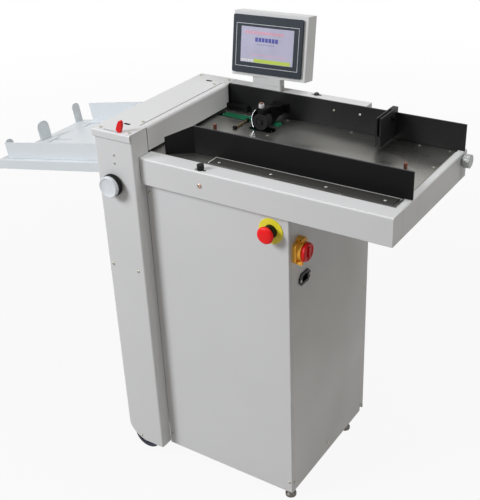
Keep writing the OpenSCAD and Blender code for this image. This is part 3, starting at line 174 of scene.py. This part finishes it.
class Shader(Tree):
    """One material, round its main shader."""

    def __init__(self, name):
        self.mat = bpy.data.materials.new(name)
        self.mat.use_nodes = True
        super().__init__(self.mat.node_tree)
        self.bsdf = self.nodes["Principled BSDF"]

    def set(self, name, value):
        self.bsdf.inputs[name].default_value = value

    def drive(self, name, source):
        self.link(source, self.bsdf.inputs[name])

    def noise(self, size, detail=3.0, rough=0.5, scale=(1, 1, 1)):
        """A noise texture; scale stretches it, and a larger number makes it finer that way."""
        place = self.add("ShaderNodeTexCoord")
        mapping = self.add("ShaderNodeMapping", Scale=scale)
        self.link(place.outputs["Object"], mapping.inputs["Vector"])
        tex = self.add("ShaderNodeTexNoise", Scale=size, Detail=detail, Roughness=rough)
        self.link(mapping.outputs["Vector"], tex.inputs["Vector"])
        return tex.outputs["Fac"]

    def shades(self, fac, colour, dark, light, high=NOISE_HIGH):
        """One colour made darker and lighter by these factors, as fac rises."""
        ramp = self.add("ShaderNodeValToRGB")
        first, last = ramp.color_ramp.elements
        first.position = NOISE_LOW
        last.position = high
        first.color = (*scaled(colour, dark), 1)
        last.color = (*scaled(colour, light), 1)
        self.link(fac, ramp.inputs["Fac"])
        return ramp.outputs["Color"]

    def span(self, fac, start, end, low=NOISE_LOW, high=NOISE_HIGH):
        """A value from start to end as fac goes from low to high."""
        remap = self.add("ShaderNodeMapRange")
        remap.inputs["From Min"].default_value = low
        remap.inputs["From Max"].default_value = high
        remap.inputs["To Min"].default_value = start
        remap.inputs["To Max"].default_value = end
        self.link(fac, remap.inputs["Value"])
        return remap.outputs["Result"]

    def within(self, x=ALL, y=ALL, z=ALL):
        """1 where a point lies between these limits in mm from the machine's zero, else 0."""
        low = at(x[0], y[0], z[0])
        high = at(x[1], y[1], z[1])
        place = self.add("ShaderNodeTexCoord")
        shift = self.add("ShaderNodeVectorMath", operation="SUBTRACT")
        shift.inputs[1].default_value = (low + high) / 2
        size = self.add("ShaderNodeVectorMath", operation="ABSOLUTE")
        rest = self.add("ShaderNodeVectorMath", operation="SUBTRACT")
        rest.inputs[0].default_value = (high - low) / 2
        parts = self.add("ShaderNodeSeparateXYZ")
        self.link(place.outputs["Object"], shift.inputs[0])
        self.link(shift.outputs["Vector"], size.inputs[0])
        self.link(size.outputs["Vector"], rest.inputs[1])
        self.link(rest.outputs["Vector"], parts.inputs["Vector"])
        least = self.maths("MINIMUM", parts.outputs["X"], parts.outputs["Y"])
        least = self.maths("MINIMUM", least, parts.outputs["Z"])
        test = self.add("ShaderNodeMath", operation="GREATER_THAN")
        test.inputs[1].default_value = 0.0
        self.link(least, test.inputs[0])
        return test.outputs["Value"]

    def near(self, place, low, high):
        """1 within a box round a place, whose corners are given as offsets from it in mm."""
        low = place + Vector(low)
        high = place + Vector(high)
        return self.within((low.x, high.x), (low.y, high.y), (low.z, high.z))

    def above(self, height):
        return self.within(z=(height, REACH))

    def blend(self, name, mask, value):
        """Where mask is 1, the main shader's input takes this value."""
        port = self.bsdf.inputs[name]
        if not port.links and port.default_value == value:
            return
        mix = self.add("ShaderNodeMix")
        self.link(mask, mix.inputs[MIX_FACTOR])
        if port.links:
            self.link(port.links[0].from_socket, mix.inputs[VALUE_A])
        else:
            mix.inputs[VALUE_A].default_value = port.default_value
        mix.inputs[VALUE_B].default_value = value
        self.link(mix.outputs[VALUE_OUT], port)

    def patch(self, mask, colour, rough, metallic=0.0):
        """Another finish where mask is 1, such as a plated part of a painted piece."""
        port = self.bsdf.inputs["Base Color"]
        tone = self.shades(self.noise(size=120.0), colour, dark=0.85, light=1.08)
        mix = self.add("ShaderNodeMix", data_type="RGBA")
        self.link(mask, mix.inputs[MIX_FACTOR])
        self.link(port.links[0].from_socket, mix.inputs[COLOUR_A])
        self.link(tone, mix.inputs[COLOUR_B])
        self.link(mix.outputs[COLOUR_OUT], port)
        self.blend("Roughness", mask, rough)
        self.blend("Metallic", mask, metallic)

    def bump(self, height, strength, depth, edge=0.0):
        """Relief of this depth in metres, on edges that are rounded by edge metres."""
        bump = self.add("ShaderNodeBump", Strength=strength, Distance=depth)
        self.link(height, bump.inputs["Height"])
        if edge:
            bevel = self.add("ShaderNodeBevel", samples=4, Radius=edge)
            self.link(bevel.outputs["Normal"], bump.inputs["Normal"])
        self.drive("Normal", bump.outputs["Normal"])


def srgb(r, g, b):
    """A screen colour, each part 0 to 255, as the linear colour that shaders take."""
    return tuple(((c / 255) / 12.92) if c <= 10 else (((c / 255) + 0.055) / 1.055) ** 2.4
                 for c in (r, g, b))


def scaled(colour, k):
    return tuple(min(1.0, c * k) for c in colour)


# ---- kinds of material ----

FINE_RELIEF = 0.0001
COARSE_RELIEF = 0.0002


def powder_coat(name, colour, rough=0.42, grain=0.35, edge=0.0009, shine=0.5):
    """Textured paint on sheet steel: slight mottling, smudges in the gloss, fine orange peel."""
    s = Shader(name)
    s.set("Specular IOR Level", shine)
    mottle = s.noise(size=2.3, detail=4.0)
    s.drive("Base Color", s.shades(mottle, colour, dark=0.965, light=1.02))
    smudge = s.noise(size=7.0, detail=5.0, rough=0.6)
    s.drive("Roughness", s.span(smudge, rough - 0.05, rough + 0.1, high=0.75))
    s.bump(s.noise(size=900.0, detail=2.0), grain, FINE_RELIEF, edge)
    return s


def black_paint(name, level, rough, shine):
    """Coarse black powder coat, nearly neutral."""
    return powder_coat(name, srgb(level, level, level + 1), rough, grain=0.4, edge=0.0007,
                       shine=shine)


def plastic(name, colour, rough, grain=0.15, edge=0.0006, shine=0.5):
    """Moulded plastic: faint tone and gloss changes, and a fine moulded grain."""
    s = Shader(name)
    s.set("Specular IOR Level", shine)
    s.drive("Base Color", s.shades(s.noise(size=30.0), colour, dark=0.93, light=1.03))
    s.drive("Roughness", s.span(s.noise(size=60.0), rough, rough + 0.1))
    s.bump(s.noise(size=1800.0, detail=1.0), grain, FINE_RELIEF, edge)
    return s


def metal(name, colour, rough, streak=(1, 1, 1), size=300.0, spread=0.15):
    """Bare metal; streak draws its grain out, and spread is how far its gloss varies."""
    s = Shader(name)
    s.set("Metallic", 1.0)
    lines = s.noise(size, detail=4.0, rough=0.6, scale=streak)
    s.drive("Base Color", s.shades(lines, colour, dark=0.85, light=1.05))
    s.drive("Roughness", s.span(lines, rough, rough + spread))
    s.bump(lines, 0.08, FINE_RELIEF, edge=0.0004)
    return s


def rubber(name, colour, rough=0.7):
    """Rubber or belt fabric: patchy tone and a coarse matt surface."""
    s = Shader(name)
    s.set("Specular IOR Level", 0.25)
    tone = s.noise(size=45.0, detail=4.0)
    s.drive("Base Color", s.shades(tone, colour, dark=0.8, light=1.35, high=0.75))
    s.drive("Roughness", s.span(tone, rough, rough + 0.15))
    s.bump(s.noise(size=700.0), 0.4, COARSE_RELIEF, edge=0.0005)
    return s


def brushed_plate():
    """Feed plate: steel brushed along the sheets' way, with duller and brighter smears."""
    s = metal("plate_steel", srgb(164, 163, 158), rough=0.27,
              streak=(3, 70, 3), size=60.0, spread=0.1)
    smear = s.noise(size=3.6, detail=2.0, scale=(1, 2.4, 1))
    duller = s.span(smear, -0.04, 0.12, low=0.38, high=0.66)
    brushed = s.bsdf.inputs["Roughness"].links[0].from_socket
    s.drive("Roughness", s.maths("ADD", brushed, duller))
    return s


# ---- finishes of single nodes; sizes in mm ----

COPPER = srgb(122, 80, 66)
ZINC = srgb(205, 208, 214)
PAINT = srgb(215, 215, 216)
PAINT_TRAY = srgb(212, 217, 221)
# painted highlight along the fences' upper edges
EDGE_HIGHLIGHT_GREY = srgb(74, 75, 77)
# painted highlight along the foot strip's back and left edges
EDGE_HIGHLIGHT_WHITE = srgb(236, 236, 232)
# painted shade on the walls of the top cover's access slots
SLOT_SHADE = srgb(16, 16, 17)

# how far down the fences' upper edges carry a painted highlight, a greyer band of paint
HIGHLIGHT_DEPTH = 1.2
# the front fence's two guide pins: centres along x, half a pin's width, and their limits in y
PIN_XS = (FOOT_LOW.x - 12, FOOT_HIGH.x + 1)
PIN_HALF = 5
PIN_YS = (FOOT_HIGH.y + 9, FOOT_HIGH.y + 19)
# the foot strip's painted edge highlights: their width along its back and across its left end,
# and the height in the strip where they start
BACK_HIGHLIGHT = 5
LEFT_HIGHLIGHT = 2
HIGHLIGHT_HEIGHT = 0.7
# the separator arm's guard and its edge rod, as offsets from the feed wheel's centre
GUARD = ((-25, -14, -18), (-10.1, 15.9, 33))
ROD = ((-63, -26.8, -20.2), (-57, 20.8, -14.8))
# height of the brown cap on the separator's pressure screw
CAP_H = 2.9
# access slots in the tower's top cover, over the two ends of the blade: middles, half a
# slot's size, and how deep its walls go, which carry painted shade
COVER_SLOTS = ((BLADE_X + 5, BLADE_LOW.y + 4.5), (BLADE_X - 1, BLADE_HIGH.y - 8))
SLOT_HALF = (8.7, 4)
SLOT_DEPTH = 9
# height of the blade's depth adjusters above its body
ADJUSTER_H = 8.6
# the hexagon bolt on the front rail, and its washer face as offsets from it
RAIL_BOLT = Vector((middle("front_lock_knob").x + 2.5, box_mm("front_rail")[0].y,
                    box_mm("front_rail")[1].z - 33))
WASHER_FACE = ((-1, -8, -6), (6, 2, 6))


def paint_edge_highlight(s):
    """Greyer paint along a fence's upper edge: a painted highlight where the edge catches the
    light.
    """
    s.patch(s.above(FENCE_HIGH.z - HIGHLIGHT_DEPTH), EDGE_HIGHLIGHT_GREY, rough=0.4)


def front_fence_finish():
    """Black plate with two coppered guide pins."""
    s = black_paint("front_fence_black", 12, rough=0.5, shine=0.12)
    paint_edge_highlight(s)
    for x in PIN_XS:
        pin = s.within(x=(x - PIN_HALF, x + PIN_HALF), y=PIN_YS)
        s.patch(pin, COPPER, rough=0.35, metallic=0.6)
    return s


def back_fence_finish():
    s = black_paint("back_fence_black", 14, rough=0.48, shine=0.24)
    paint_edge_highlight(s)
    return s


def foot_finish():
    """Foot strip of the front fence: worn grey-black, with a painted highlight along two of its
    edges.
    """
    s = powder_coat("fence_foot_grey", srgb(58, 57, 55), rough=0.4, grain=0.3, edge=0.0005,
                    shine=0.4)
    top = (FOOT_LOW.z + HIGHLIGHT_HEIGHT, REACH)
    back_edge = s.within(y=(FOOT_HIGH.y - BACK_HIGHLIGHT, REACH), z=top)
    s.patch(back_edge, EDGE_HIGHLIGHT_WHITE, rough=0.35, metallic=0.1)
    left_edge = s.within(x=(-REACH, FOOT_LOW.x + LEFT_HIGHLIGHT), z=top)
    s.patch(left_edge, EDGE_HIGHLIGHT_WHITE, rough=0.35, metallic=0.1)
    return s


def arm_finish():
    """Separator arm: black, with a bright guard round the wheel and a brass edge rod."""
    s = black_paint("separator_black", 12, rough=0.5, shine=0.08)
    s.patch(s.near(WHEEL_CENTRE, *GUARD), ZINC, rough=0.22, metallic=1.0)
    s.patch(s.near(WHEEL_CENTRE, *ROD), srgb(214, 190, 150), rough=0.25, metallic=1.0)
    return s


def pressure_screw_finish():
    """Separator pressure screw: white, with a brown cap."""
    s = plastic("pressure_knob_white", srgb(228, 229, 232), rough=0.3)
    s.patch(s.above(CAP_TOP - CAP_H), srgb(120, 84, 74), rough=0.45)
    return s


def top_cover_finish():
    """Tower's top cover: panel paint, with painted shade on the walls of its two access slots."""
    s = powder_coat("top_cover_paint", PAINT, edge=0.0016)
    half_w, half_d = SLOT_HALF
    for x, y in COVER_SLOTS:
        slot = s.within(x=(x - half_w, x + half_w), y=(y - half_d, y + half_d),
                        z=(COVER_TOP - SLOT_DEPTH, REACH))
        s.patch(slot, SLOT_SHADE, rough=0.6)
    return s


def blade_finish():
    """Creasing blade: ground steel, with black oxide on its two depth adjusters."""
    s = metal("blade_steel", srgb(196, 197, 200), rough=0.36,
              streak=(40, 1.5, 40), size=60.0, spread=0.1)
    s.patch(s.above(BLADE_HIGH.z - ADJUSTER_H), srgb(22, 22, 23), rough=0.5, metallic=0.3)
    return s


def screws_finish():
    """Nickel screws; the hexagon bolt on the front rail has a copper-coloured washer face."""
    s = metal("screws_nickel", srgb(176, 172, 160), rough=0.38)
    washer = s.near(RAIL_BOLT, *WASHER_FACE)
    s.patch(washer, srgb(184, 152, 136), rough=0.4, metallic=1.0)
    return s


# a finish for each of the record's material slots
FINISHES = {
    "panel_paint": powder_coat("panel_paint", PAINT, edge=0.0016),
    "tray_paint": powder_coat("tray_paint", PAINT_TRAY, rough=0.38),
    "fence_black": black_paint("fence_black", 15, rough=0.5, shine=0.3),
    "plate_steel": brushed_plate(),
    "frame_steel": metal("frame_steel", srgb(150, 152, 155), rough=0.4, size=40.0, spread=0.2),
    "bright_steel": metal("bright_steel", srgb(205, 206, 208), rough=0.16),
    "roller_rubber": rubber("roller_rubber", srgb(24, 24, 25)),
    "belt_green": rubber("belt_green", srgb(15, 92, 62), rough=0.6),
    "black_plastic": plastic("black_plastic", srgb(15, 15, 16), rough=0.46, shine=0.25),
    "knob_white": plastic("knob_white", srgb(222, 226, 231), rough=0.3),
    "red_plastic": plastic("red_plastic", srgb(226, 12, 18), rough=0.38, shine=0.3),
    "yellow_plastic": plastic("yellow_plastic", srgb(253, 240, 56), rough=0.45),
    "orange_plastic": plastic("orange_plastic", srgb(252, 186, 60), rough=0.45),
    "bezel_slate": plastic("bezel_slate", srgb(34, 42, 52), rough=0.36, shine=0.32),
    "brass": metal("brass", srgb(200, 165, 95), rough=0.28),
    "screw_nickel": metal("screw_nickel", srgb(186, 182, 168), rough=0.3),
    "wheel_grey": rubber("wheel_grey", srgb(60, 60, 72), rough=0.5),
}
SCREW_ZINC = plastic("screw_zinc", srgb(232, 232, 228), rough=0.34)
FOOT_ZINC = metal("foot_zinc", srgb(104, 99, 94), rough=0.45, size=80.0)

# the nodes whose finish isn't their slot's alone
SPECIAL_FINISHES = {
    "tower_top_cover": top_cover_finish(),
    "front_fence": front_fence_finish(),
    "back_fence": back_fence_finish(),
    "fence_foot": foot_finish(),
    "separator_arm": arm_finish(),
    "separator_knob": pressure_screw_finish(),
    "crease_blade": blade_finish(),
    "cover_screws": screws_finish(),
    "estop_button": plastic("estop_red", srgb(250, 16, 20), rough=0.36, shine=0.3),
    "back_stop_knob": metal("stop_knob_black", srgb(34, 33, 33), rough=0.45),
    "rear_lock_knob": metal("duct_knob_black", srgb(62, 62, 64), rough=0.38),
    "side_lay_knob": metal("side_knob_aluminium", srgb(150, 152, 150), rough=0.36,
                           streak=(40, 1, 1), size=30.0, spread=0.12),
    "front_foot": FOOT_ZINC,
    "rear_foot": FOOT_ZINC,
}


def dress_frame():
    for part in frame["record"]["subparts"]:
        name = part["node"]
        wear(NODES[name], SPECIAL_FINISHES.get(name) or FINISHES[part["material_slot"]])


def wear(obj, finish):
    obj.data.materials.clear()
    obj.data.materials.append(finish.mat)


# ---- mesh building ----

# in a turned shape, the rings this close to its widest one take its ribs, in mm
RIBBED_RANGE = 0.6


def new_piece(name, shape, finish, body, smooth=True):
    """A piece from a shape of vertices and faces, wearing the given finish, fixed to a body."""
    verts, faces = shape
    mesh = bpy.data.meshes.new(name)
    mesh.from_pydata([tuple(v) for v in verts], [], faces)
    mesh.validate()
    obj = bpy.data.objects.new(name, mesh)
    SCENE.collection.objects.link(obj)
    if smooth:
        mesh.polygons.foreach_set("use_smooth", [True] * len(mesh.polygons))
    wear(obj, finish)
    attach(obj, body)
    return obj


def lathe(profile, steps, place, rib_depth=0.0, ribs=0):
    """A turned shape: profile holds rings as (radius, height) in mm, and place is a matrix."""
    widest = max(r for r, _ in profile)
    verts = []
    for radius, height in profile:
        ribbed = ribs and radius > widest - RIBBED_RANGE
        for k in range(steps):
            turn = 2 * math.pi * k / steps
            dip = rib_depth * (0.5 - 0.5 * math.cos(ribs * turn)) if ribbed else 0
            r = radius - dip
            verts.append(place @ (Vector((r * math.cos(turn), r * math.sin(turn), height)) * MM))
    faces = []
    for ring in range(len(profile) - 1):
        for k in range(steps):
            a = ring * steps + k
            b = ring * steps + (k + 1) % steps
            faces.append((a, b, b + steps, a + steps))
    faces.append(tuple(reversed(range(steps))))
    last = (len(profile) - 1) * steps
    faces.append(tuple(range(last, last + steps)))
    return verts, faces


def slab(low, high, place):
    """A box between two corners in mm, moved by place."""
    corners = [(x, y, z) for x in (low[0], high[0]) for y in (low[1], high[1])
               for z in (low[2], high[2])]
    verts = [place @ (Vector(c) * MM) for c in corners]
    faces = [(0, 1, 3, 2), (4, 6, 7, 5), (0, 4, 5, 1), (2, 3, 7, 6), (0, 2, 6, 4), (1, 5, 7, 3)]
    return verts, faces


def facing_front(centre):
    """A place whose own z axis points to the machine's front."""
    return Matrix.Translation(at(*centre)) @ Matrix.Rotation(math.radians(90), 4, "X")


# ---- hand knob ----

# profiles as (radius, distance in front of the tower's cover), in mm
KNOB_FACE = [(25, 12), (25.6, 14), (25.6, 20.6), (25, 22), (23.8, 22.7), (22.4, 22.5), (20.8, 21.4),
             (18, 20.6), (10, 20.3), (0.5, 20.2)]
KNOB_RING = [(24, 0.2), (26.4, 0.6), (26.9, 1.8), (26.9, 10.5), (26.5, 12.2), (25, 13)]
FACE_STEPS = 96
KNOB_RIBS = 48
STEPS_PER_RIB = 6
RIB_DEPTH = 0.9


def add_hand_knob():
    """White dished face in a ribbed black ring, in place of the plain turned knob."""
    place = facing_front(KNOB_CENTRE)
    dish = lathe(KNOB_FACE, FACE_STEPS, place)
    ring = lathe(KNOB_RING, KNOB_RIBS * STEPS_PER_RIB, place, RIB_DEPTH, KNOB_RIBS)
    face = new_piece("hand_knob_face", dish, FINISHES["knob_white"], "main_shaft")
    new_piece("hand_knob_ring", ring, FINISHES["black_plastic"], "main_shaft")
    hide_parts("hand_knob")


# ---- operator panel: x to the right and z up on its face, y into it, in mm ----

# the panel's turn and tilt in degrees, and how far its middle lies behind its face
PANEL_YAW = 4.7
PANEL_TILT = 9.7
PANEL_BEHIND = 2.99
SCREEN_W = 142
SCREEN_H = 86
SCREEN_EDGE = 0.4
# what the screen shows, as rows of generic blocks: left, low, right, high in mm, how many
# blocks the row is cut into, and a colour
SCREEN_ROWS = {
    "title": ((-60, 26, 44, 32.5), 13, (222, 164, 184)),
    "heading": ((-32, 8, 29, 18), 7, (84, 86, 168)),
    "caption": ((-27, 0, 20, 3.4), 9, (158, 156, 192)),
    "note": ((-44, -25, 54, -22.6), 16, (218, 172, 194)),
    "status": ((-34, -42, 64, -33), 1, (190, 210, 88)),
    "keys": ((-68, -41, -35, -35), 4, (222, 222, 222)),
}
ROW_GAP = 1.6
# front and back of the glass, of the rows on it and of the line round it
GLASS_Y = (0.25, 0.6)
ROW_Y = (0.2, 0.3)
LINE_Y = (-0.12, 0.05)
LINE_HALF_W = 84
LINE_HALF_H = 51.5
LINE_WIDTH = 1.1
LINE_DROP = 2


def panel_place():
    yaw = Matrix.Rotation(math.radians(PANEL_YAW), 4, "Z")
    tilt = Matrix.Rotation(math.radians(-PANEL_TILT), 4, "X")
    to_face = Matrix.Translation(Vector((0, -PANEL_BEHIND, 0)) * MM)
    return Matrix.Translation(at(*middle("panel_bezel"))) @ yaw @ tilt @ to_face


def screen_colour(name, colour):
    """A lit screen's colour behind smooth glass."""
    return plastic(name, srgb(*colour), rough=0.12, grain=0.02, edge=0.0)


def add_panel_piece(name, shape, finish):
    new_piece(name, shape, finish, "operator_panel", smooth=False)


def flat_on_panel(box, depth):
    """A flat block on the panel: left, low, right, high of its face, then front and back."""
    left, low, right, high = box
    front, back = depth
    return slab((left, front, low), (right, back, high), panel_place())


def add_screen():
    half_w = SCREEN_W / 2 - SCREEN_EDGE
    half_h = SCREEN_H / 2 - SCREEN_EDGE
    glass = flat_on_panel((-half_w, -half_h, half_w, half_h), GLASS_Y)
    add_panel_piece("screen", glass, screen_colour("screen_lilac", (186, 184, 208)))
    for name, (box, count, colour) in SCREEN_ROWS.items():
        name = "screen_" + name
        add_panel_piece(name, screen_row(box, count), screen_colour(name, colour))


def screen_row(box, count):
    """One row of equal blocks, as one shape."""
    left, low, right, high = box
    pitch = (right - left + ROW_GAP) / count
    verts = []
    faces = []
    for k in range(count):
        x = left + k * pitch
        more, sides = flat_on_panel((x, low, x + pitch - ROW_GAP, high), ROW_Y)
        faces += [tuple(i + len(verts) for i in side) for side in sides]
        verts += more
    return verts, faces


def add_screen_frame():
    """The thin white line round the display."""
    left, right = -LINE_HALF_W, LINE_HALF_W
    low, high = -LINE_HALF_H - LINE_DROP, LINE_HALF_H - LINE_DROP
    sides = {
        "top": (left, high - LINE_WIDTH, right, high),
        "bottom": (left, low, right, low + LINE_WIDTH),
        "left": (left, low, left + LINE_WIDTH, high),
        "right": (right - LINE_WIDTH, low, right, high),
    }
    for side, box in sides.items():
        line = flat_on_panel(box, LINE_Y)
        add_panel_piece("screen_line_" + side, line, FINISHES["knob_white"])


# ---- small screws ----

# a socket screw's head as (radius, height), in shares of its radius and its rise
HEAD = [(1, 0), (1, 0.35), (0.9, 0.8), (0.7, 1)]
HEAD_STEPS = 32
# its hexagon socket: radius and bottom in the same shares, and how far it stands out in mm
SOCKET_R = 0.42
SOCKET_LOW = 0.9
SOCKET_OUT = 0.03
# four countersunk screws in the front fence's foot: the outer ones' distance from its ends,
# the row's distance from its back edge, and the height of their seats in it, in mm
FOOT_SCREWS = 4
FOOT_END = 22
FOOT_BACK = 25
FOOT_SEAT = 0.9
FOOT_PITCH = (FOOT_HIGH.x - FOOT_LOW.x - 2 * FOOT_END) / (FOOT_SCREWS - 1)
# one screw in the back fence's face
FENCE_SCREW = (FENCE_HIGH.x - 257, FENCE_LOW.y + 12.9, FENCE_HIGH.z - 21)


def add_socket_screw(name, place, radius, rise, body):
    """A low round head with a dark hexagon socket; place puts its seat at z = 0."""
    dome = lathe([(radius * r, rise * h) for r, h in HEAD], HEAD_STEPS, place)
    new_piece(name, dome, SCREW_ZINC, body)
    socket_r = radius * SOCKET_R
    socket = lathe([(socket_r, rise * SOCKET_LOW), (socket_r, rise + SOCKET_OUT)], 6, place)
    new_piece(name + "_socket", socket, FINISHES["black_plastic"], body,
              smooth=False)


def add_small_screws():
    y = FOOT_HIGH.y - FOOT_BACK
    z = FOOT_LOW.z + FOOT_SEAT
    for k in range(FOOT_SCREWS):
        place = Matrix.Translation(at(FOOT_LOW.x + FOOT_END + k * FOOT_PITCH, y, z))
        name = "foot_screw_%d" % (k + 1)
        add_socket_screw(name, place, radius=3.3, rise=1.2, body="front_fence")
    place = facing_front(FENCE_SCREW)
    add_socket_screw("fence_screw", place, radius=2.6, rise=1.4, body="frame")


# ---- stage: floor, world and lamps; distances in metres ----

FLOOR_HALF = 12.0
FLOOR_GREY = (0.42, 0.42, 0.42)
# how much of the floor's white is plain backdrop near the machine, where the rest keeps the
# shadow; it grows to all of it between these two distances
FLOOR_GLOW = 0.92
FLOOR_NEAR = 1.2
FLOOR_FAR = 4.0
AMBIENT = (0.2, 0.184, 0.148)
WHITE = (1, 1, 1)
LAMP_COLOUR = (0.945, 0.965, 1.0)


def add_floor():
    mesh = bpy.data.meshes.new("floor")
    h = FLOOR_HALF
    mesh.from_pydata([(-h, -h, 0), (h, -h, 0), (h, h, 0), (-h, h, 0)], [], [(0, 1, 2, 3)])
    floor = bpy.data.objects.new("floor", mesh)
    SCENE.collection.objects.link(floor)
    s = Shader("floor_white")
    s.set("Base Color", (*FLOOR_GREY, 1))
    s.set("Roughness", 0.9)
    glow = s.add("ShaderNodeEmission", Strength=1.0)
    place = s.add("ShaderNodeTexCoord")
    distance = s.add("ShaderNodeVectorMath", operation="LENGTH")
    s.link(place.outputs["Object"], distance.inputs[0])
    share = s.span(distance.outputs["Value"], FLOOR_GLOW, 1.0, FLOOR_NEAR, FLOOR_FAR)
    white = s.maths("MULTIPLY", s.backdrop_rays(), share)
    surface = s.mix_shaders(white, s.bsdf.outputs["BSDF"], glow.outputs["Emission"])
    s.link(surface, s.nodes["Material Output"].inputs["Surface"])
    wear(floor, s)


def add_world():
    world = bpy.data.worlds.new("studio")
    world.use_nodes = True
    world.node_tree.nodes.clear()
    t = Tree(world.node_tree)
    ambient = t.add("ShaderNodeBackground", Color=(*AMBIENT, 1), Strength=1.0)
    seen = t.add("ShaderNodeBackground", Color=(*WHITE, 1), Strength=1.0)
    surface = t.mix_shaders(t.backdrop_rays(), ambient.outputs["Background"],
                            seen.outputs["Background"])
    t.link(surface, t.add("ShaderNodeOutputWorld").inputs["Surface"])
    SCENE.world = world


def add_lamp(name, place, target, size, watts):
    data = bpy.data.lights.new(name, "AREA")
    data.shape = "RECTANGLE"
    data.size, data.size_y = size
    data.energy = watts
    data.color = LAMP_COLOUR
    lamp = bpy.data.objects.new(name, data)
    lamp.location = place
    aim = (Vector(target) - Vector(place)).to_track_quat("-Z", "Y")
    lamp.rotation_euler = aim.to_euler()
    SCENE.collection.objects.link(lamp)


def add_lamps():
    """The key lamp puts the tower's shadow on the front panel; the top lamp lights the table."""
    add_lamp("key", place=(-2.1, -3.2, 3.0), target=(0, 0, 0.6), size=(1.5, 1.5), watts=149)
    add_lamp("top", place=(0.95, 0.1, 3.3), target=(0.1, 0.1, 0.8), size=(1.2, 2.4), watts=39)


add_camera()
dress_frame()
add_hand_knob()
add_screen()
add_screen_frame()
add_small_screws()
add_floor()
add_world()
add_lamps()
SCENE.view_settings.view_transform = "Standard"
